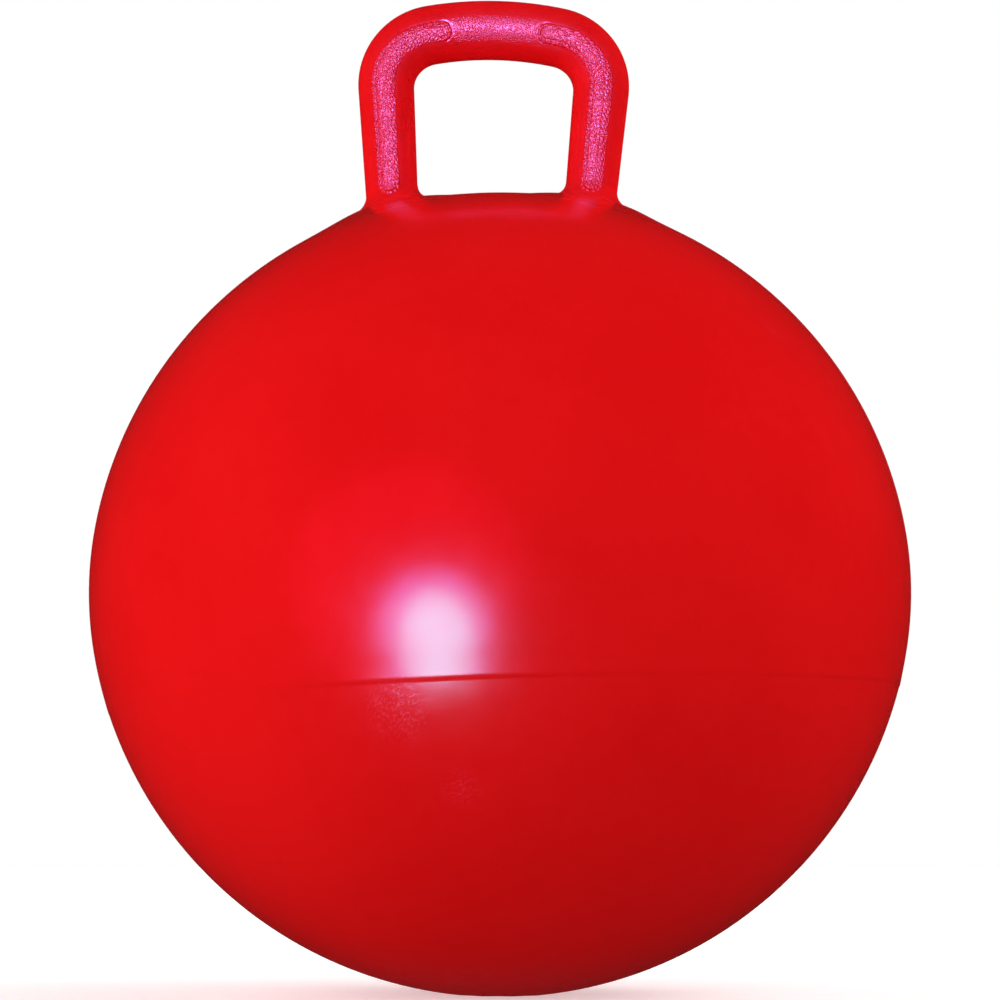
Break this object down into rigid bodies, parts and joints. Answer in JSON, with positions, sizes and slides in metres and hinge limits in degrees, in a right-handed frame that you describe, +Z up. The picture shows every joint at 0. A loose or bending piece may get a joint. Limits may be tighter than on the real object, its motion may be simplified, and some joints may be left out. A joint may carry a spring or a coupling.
{
  "type": "hopper ball",
  "caption": "Glossy red inflatable hopper ball with a closed loop handle on its crown, a low mould seam round it and a push-in air plug at the lower rear.",
  "frame": {"origin": "middle of the flat spot under the ball, on the floor, below the ball's axis", "axes": "+Z up through the crown; the loop handle lies in the XZ plane, +X to the right in the picture; -Y faces the viewer and the air valve is low on the +Y side"},
  "size_m": [0.4499, 0.45, 0.5566],
  "materials": {
    "vinyl_skin": "gloss",
    "vinyl_handle": "satin",
    "vinyl_bush": "satin",
    "plug_plastic": "satin"
  },
  "bodies": {
    "ball": {"ball_skin": "vinyl_skin", "loop_handle": "vinyl_handle", "valve_bush": "vinyl_bush"},
    "plug": {"valve_plug": "plug_plastic"}
  },
  "joints": [
    {"name": "plug_pull", "type": "slide", "parent": "ball", "child": "plug", "axis": [0, 0.788, -0.6157], "range_m": [0, 0.04]}
  ]
}
